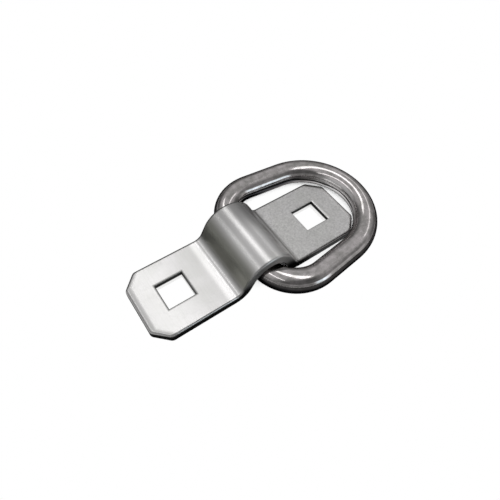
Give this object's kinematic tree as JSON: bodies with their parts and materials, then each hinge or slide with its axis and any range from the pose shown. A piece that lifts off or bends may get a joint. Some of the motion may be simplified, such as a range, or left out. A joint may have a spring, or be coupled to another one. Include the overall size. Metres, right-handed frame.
{
  "type": "bolt-on d-ring tie-down",
  "caption": "Steel D-ring whose straight bar turns under the tunnel of a bent strap bracket, with a square bolt hole in each tab. It folds flat either way and stands up for a lashing hook.",
  "frame": {"origin": "midway between the two square bolt holes, on the plane that the tabs are bolted to", "axes": "+X along the strap towards the ring's bow at rest, +Y along the ring's straight bar, +Z away from the mounting plane"},
  "size_m": [0.1393, 0.079, 0.021],
  "materials": {
    "plated_strap": "bright zinc plating on rolled flat bar, satin with fine scratches",
    "plated_bar": "bright zinc plating on round bar, smooth and fairly shiny"
  },
  "bodies": {
    "bracket": {"mounting_bracket": "plated_strap"},
    "ring": {"d_ring": "plated_bar"}
  },
  "joints": [
    {"name": "ring_swing", "type": "hinge", "parent": "bracket", "child": "ring", "pos_m": [0, 0.0012, 0.00635], "axis": [0, -1, 0], "range_deg": [0, 180]}
  ]
}
